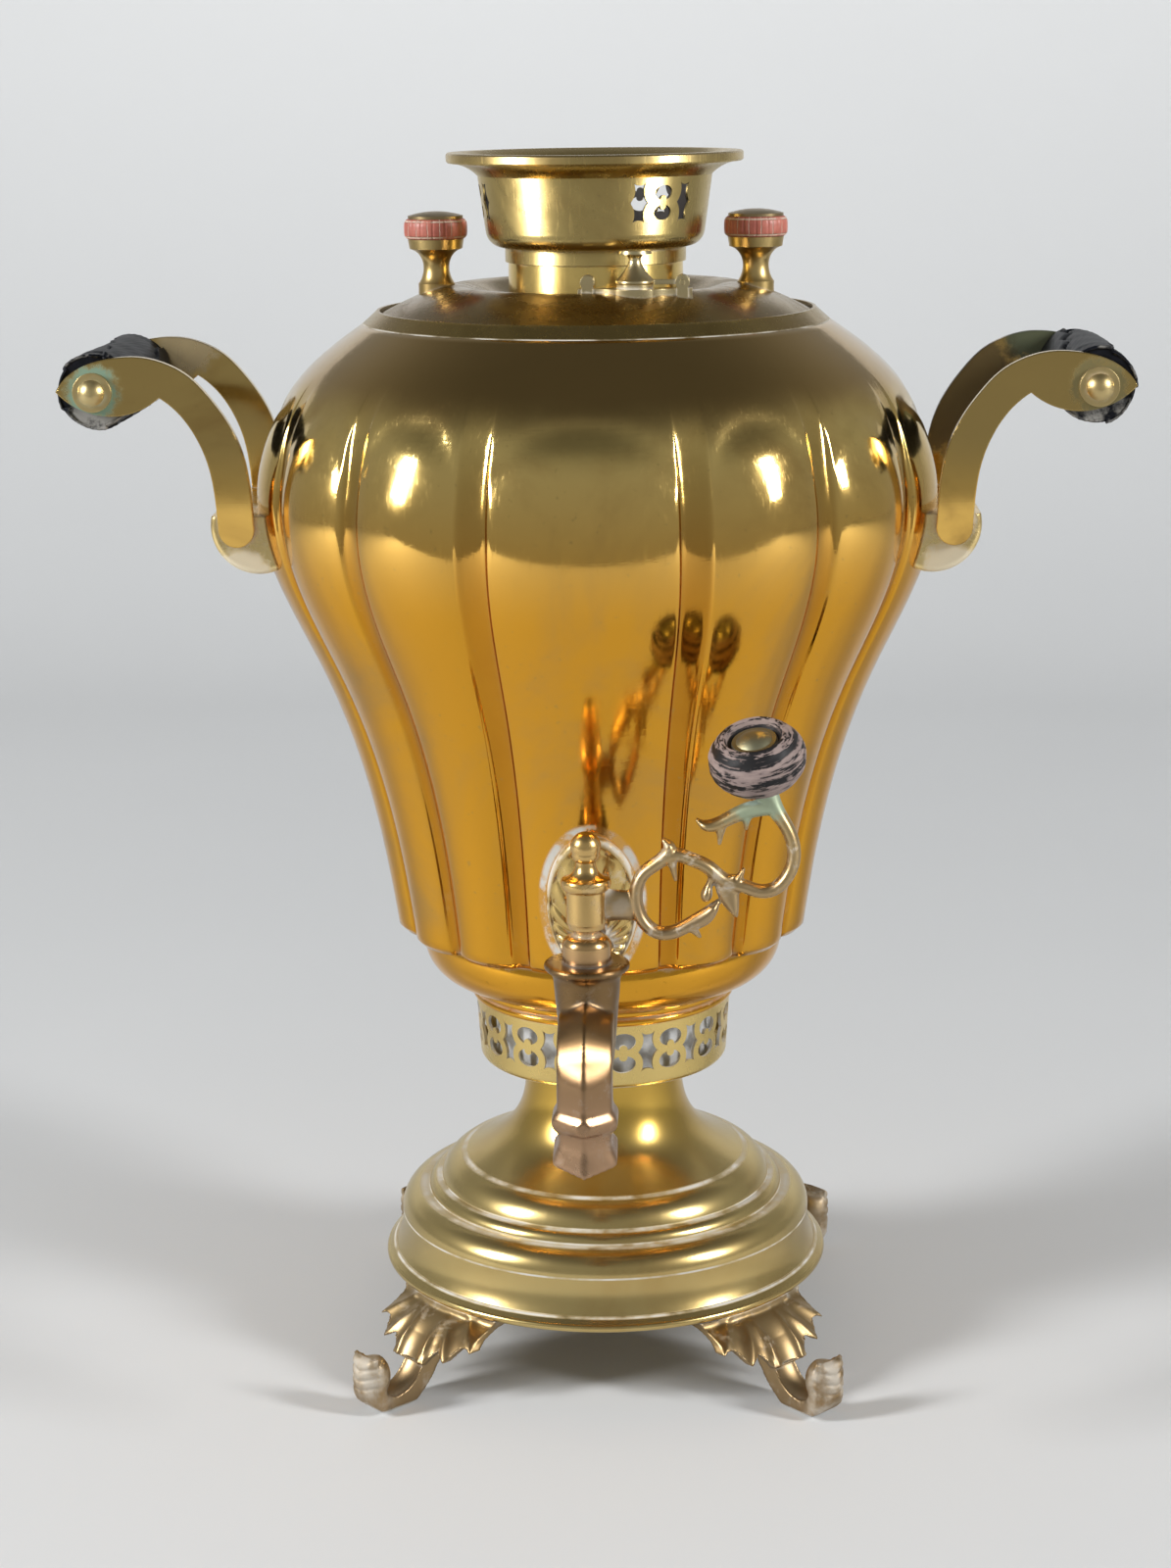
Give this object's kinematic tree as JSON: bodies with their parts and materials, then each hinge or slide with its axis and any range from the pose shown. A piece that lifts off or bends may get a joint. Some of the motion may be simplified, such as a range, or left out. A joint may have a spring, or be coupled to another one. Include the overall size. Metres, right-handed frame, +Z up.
{
  "type": "charcoal samovar",
  "caption": "charcoal-fired brass water boiler with a lobed vase body on a stepped pedestal base, pierced gallery, lift-off lid, chimney crown, side handles and a plug tap with scroll key",
  "frame": {"origin": "on the samovar axis, in the plane that its four feet stand on", "axes": "+Z up, tap towards -Y, handles along +X and -X"},
  "size_m": [0.3998, 0.2986, 0.4724],
  "materials": {
    "body_brass": "polished, lightly tarnished, white polish residue in the seams",
    "base_brass": "worn satin cast brass",
    "lid_brass": "dull, browned by heat",
    "tap_bronze": "reddish, worn smooth",
    "white_brass": "pale silvery brass with whitish residue",
    "sooty_steel": "heat-stained",
    "zinc": "dull grey",
    "cast_iron": "sooty",
    "black_wood": "black lacquer, chipped to pale wood at the ends",
    "worn_wood": "turned, dark paint worn off in rings",
    "dyed_wood": "red-brown with pale grain lines"
  },
  "bodies": {
    "frame": {"lower_bowl": "body_brass", "body_shell": "body_brass", "lid_seat_ring": "body_brass", "handle_saddle_left": "body_brass", "handle_saddle_right": "body_brass", "handle_arm_front_left": "body_brass", "handle_arm_front_right": "body_brass", "handle_arm_rear_left": "body_brass", "handle_arm_rear_right": "body_brass", "handle_rod_left": "body_brass", "handle_rod_right": "body_brass", "handle_washers": "body_brass", "handle_nuts": "body_brass", "gallery": "body_brass", "tap_escutcheon": "body_brass", "tap_nut": "body_brass", "foot_front_right": "base_brass", "foot_rear_right": "base_brass", "foot_rear_left": "base_brass", "foot_front_left": "base_brass", "base_rim": "base_brass", "base_skirt": "base_brass", "base_pedestal": "base_brass", "tap_body": "tap_bronze", "fire_tube": "sooty_steel", "gallery_liner": "zinc", "grate": "cast_iron"},
    "lid": {"lid_shell": "lid_brass", "lid_knob_stem_left": "body_brass", "lid_knob_ring_left": "dyed_wood", "lid_knob_cap_left": "body_brass", "lid_knob_stem_right": "body_brass", "lid_knob_ring_right": "dyed_wood", "lid_knob_cap_right": "body_brass", "vent_base": "white_brass", "vent_pin": "white_brass"},
    "vent": {"vent_cap": "white_brass"},
    "crown": {"crown": "body_brass"},
    "tap_handle": {"tap_plug": "tap_bronze", "plug_washer": "tap_bronze", "plug_screw": "tap_bronze", "tap_key": "tap_bronze", "tap_knob": "worn_wood", "tap_knob_rivet": "tap_bronze"},
    "grip_left": {"handle_grip_left": "black_wood"},
    "grip_right": {"handle_grip_right": "black_wood"}
  },
  "joints": [
    {"name": "lid_lift", "type": "slide", "parent": "frame", "child": "lid", "axis": [0, 0, 1], "range_m": [0, 0.09]},
    {"name": "crown_lift", "type": "slide", "parent": "lid", "child": "crown", "axis": [0, 0, 1], "range_m": [0, 0.08]},
    {"name": "vent_hinge", "type": "hinge", "parent": "lid", "child": "vent", "pos_m": [0.0335, -0.0492, 0.4273], "axis": [0, 1, 0], "range_deg": [0, 100]},
    {"name": "tap_turn", "type": "hinge", "parent": "frame", "child": "tap_handle", "pos_m": [0, -0.13, 0.1955], "axis": [0, 0, 1], "range_deg": [-180, 0]},
    {"name": "grip_left_roll", "type": "hinge", "parent": "frame", "child": "grip_left", "pos_m": [-0.185, 0, 0.388], "axis": [0, 1, 0], "continuous": true},
    {"name": "grip_right_roll", "type": "hinge", "parent": "frame", "child": "grip_right", "pos_m": [0.185, 0, 0.388], "axis": [0, 1, 0], "continuous": true}
  ]
}
